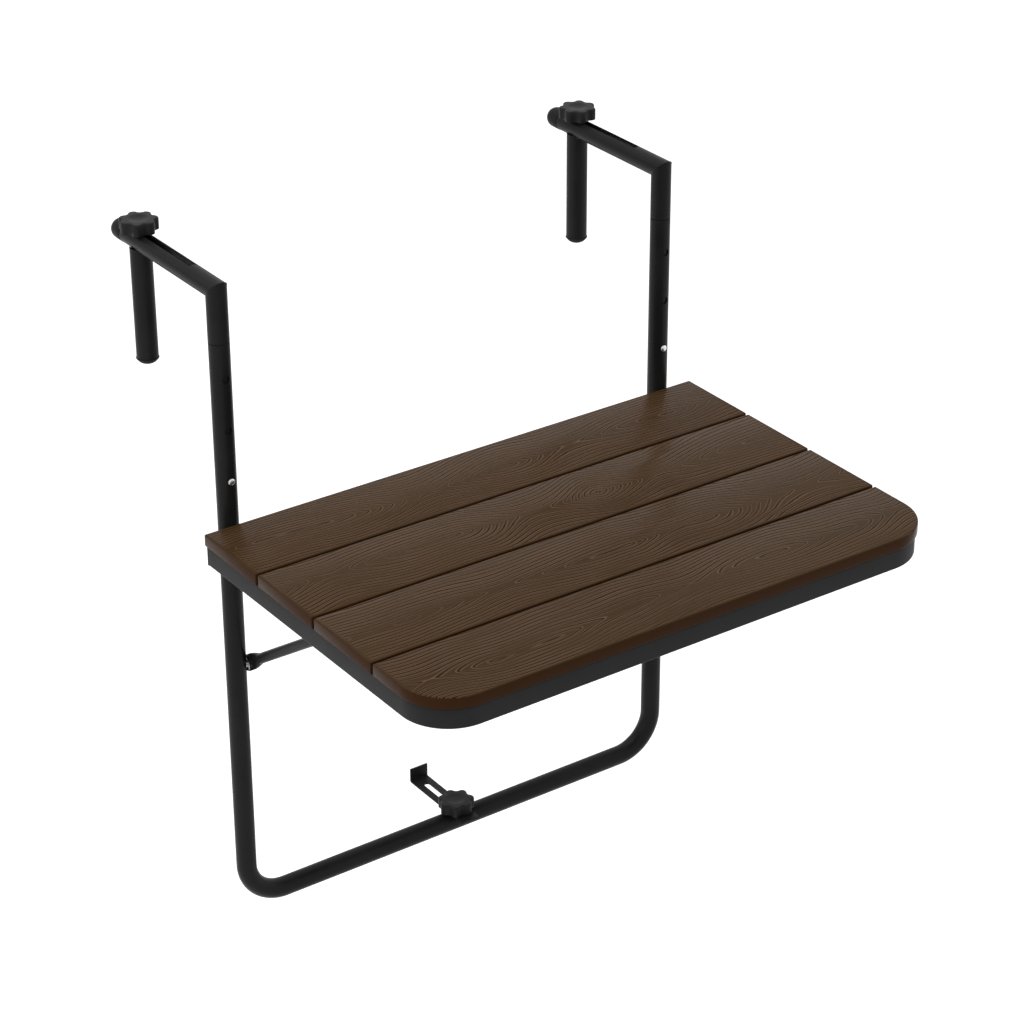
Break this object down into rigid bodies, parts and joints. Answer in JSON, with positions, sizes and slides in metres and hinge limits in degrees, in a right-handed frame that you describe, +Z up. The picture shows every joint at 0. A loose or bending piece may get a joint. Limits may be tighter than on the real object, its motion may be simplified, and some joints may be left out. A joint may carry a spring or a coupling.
{
  "type": "balcony railing bar table",
  "caption": "Folding balcony railing table: slatted wood-grain top on a bent black tube frame, with hooks over the rail, clamp legs with star knobs, a diagonal brace and a lower bracket.",
  "frame": {"origin": "midway between the two hooks, on top of the railing, at the uprights' face that touches the railing", "axes": "+X along the railing to the user's right, -Y towards the user, +Z up"},
  "size_m": [0.6, 0.607, 0.7345],
  "materials": {
    "black_tube": "satin black powder coat",
    "dark_rim": "satin dark grey powder coat",
    "bright_steel": "zinc-plated, semi-gloss",
    "spring_steel": "plain spring steel",
    "brass_insert": "turned brass",
    "knob_plastic": "fine satin plastic",
    "cap_plastic": "satin black plastic",
    "brown_plank": "dark brown composite with embossed wood grain, satin gloss"
  },
  "bodies": {
    "frame": {"u_frame": "black_tube", "left_hinge_ear": "black_tube", "right_hinge_ear": "black_tube", "hinge_bolts": "bright_steel", "hinge_spacers": "cap_plastic", "hinge_nuts": "bright_steel", "brace_bolts": "bright_steel", "brace_washers": "bright_steel", "brace_inserts": "bright_steel", "bracket_stud": "bright_steel"},
    "left_hook": {"left_hook": "black_tube", "left_hook_insert": "black_tube", "left_arm_cap": "cap_plastic", "left_spring_clip": "spring_steel"},
    "right_hook": {"right_hook": "black_tube", "right_hook_insert": "black_tube", "right_arm_cap": "cap_plastic", "right_spring_clip": "spring_steel"},
    "left_button": {"left_snap_button": "bright_steel"},
    "right_button": {"right_snap_button": "bright_steel"},
    "left_clamp": {"left_clamp_leg": "black_tube", "left_leg_cap": "cap_plastic", "left_clamp_stud": "bright_steel"},
    "right_clamp": {"right_clamp_leg": "black_tube", "right_leg_cap": "cap_plastic", "right_clamp_stud": "bright_steel"},
    "left_knob": {"left_clamp_knob": "knob_plastic", "left_knob_insert": "brass_insert"},
    "right_knob": {"right_clamp_knob": "knob_plastic", "right_knob_insert": "brass_insert"},
    "lower_bracket": {"bracket": "black_tube"},
    "lower_knob": {"bracket_knob": "knob_plastic", "bracket_knob_insert": "brass_insert"},
    "table": {"rear_plank": "brown_plank", "middle_planks": "brown_plank", "front_plank": "brown_plank", "table_rim": "dark_rim", "rear_rail": "dark_rim", "left_bearer": "dark_rim", "right_bearer": "dark_rim", "rim_plugs": "cap_plastic", "plank_screws": "bright_steel", "brace_catches": "dark_rim"},
    "brace": {"brace_frame": "black_tube"}
  },
  "joints": [
    {"name": "table_fold", "type": "hinge", "parent": "frame", "child": "table", "pos_m": [0, -0.0346, -0.2625], "axis": [1, 0, 0], "range_deg": [0, 90]},
    {"name": "brace_fold", "type": "hinge", "parent": "frame", "child": "brace", "pos_m": [0, -0.0106, -0.4048], "axis": [1, 0, 0], "range_deg": [0, 124.3]},
    {"name": "left_hook_height", "type": "slide", "parent": "frame", "child": "left_hook", "axis": [0, 0, 1], "range_m": [0, 0.11], "deforming": ["left_snap_button"]},
    {"name": "right_hook_height", "type": "slide", "parent": "frame", "child": "right_hook", "axis": [0, 0, 1], "range_m": [0, 0.11], "deforming": ["right_snap_button"]},
    {"name": "left_button_press", "type": "hinge", "parent": "left_hook", "child": "left_button", "pos_m": [-0.2655, -0.0163, -0.14], "axis": [1, 0, 0], "range_deg": [0, 4], "stiffness_Nm_per_rad": 0.3, "springref_deg": -8.59},
    {"name": "right_button_press", "type": "hinge", "parent": "right_hook", "child": "right_button", "pos_m": [0.2655, -0.0163, -0.14], "axis": [1, 0, 0], "range_deg": [0, 4], "stiffness_Nm_per_rad": 0.3, "springref_deg": -8.59},
    {"name": "left_clamp_slide", "type": "slide", "parent": "left_hook", "child": "left_clamp", "axis": [0, 1, 0], "range_m": [-0.099, 0.004]},
    {"name": "right_clamp_slide", "type": "slide", "parent": "right_hook", "child": "right_clamp", "axis": [0, 1, 0], "range_m": [-0.099, 0.004]},
    {"name": "left_knob_turn", "type": "hinge", "parent": "left_clamp", "child": "left_knob", "pos_m": [-0.2655, 0.1366, 0.0215], "axis": [0, 0, 1], "continuous": true},
    {"name": "right_knob_turn", "type": "hinge", "parent": "right_clamp", "child": "right_knob", "pos_m": [0.2655, 0.1366, 0.0215], "axis": [0, 0, 1], "continuous": true},
    {"name": "bracket_slide", "type": "slide", "parent": "frame", "child": "lower_bracket", "axis": [0, 1, 0], "range_m": [-0.053, 0.012]},
    {"name": "lower_knob_turn", "type": "hinge", "parent": "frame", "child": "lower_knob", "pos_m": [0, -0.0106, -0.6768], "axis": [0, 0, 1], "continuous": true}
  ],
  "couplings": [
    {"joint": "brace_fold", "follows": "table_fold", "ratio": 1.38}
  ]
}
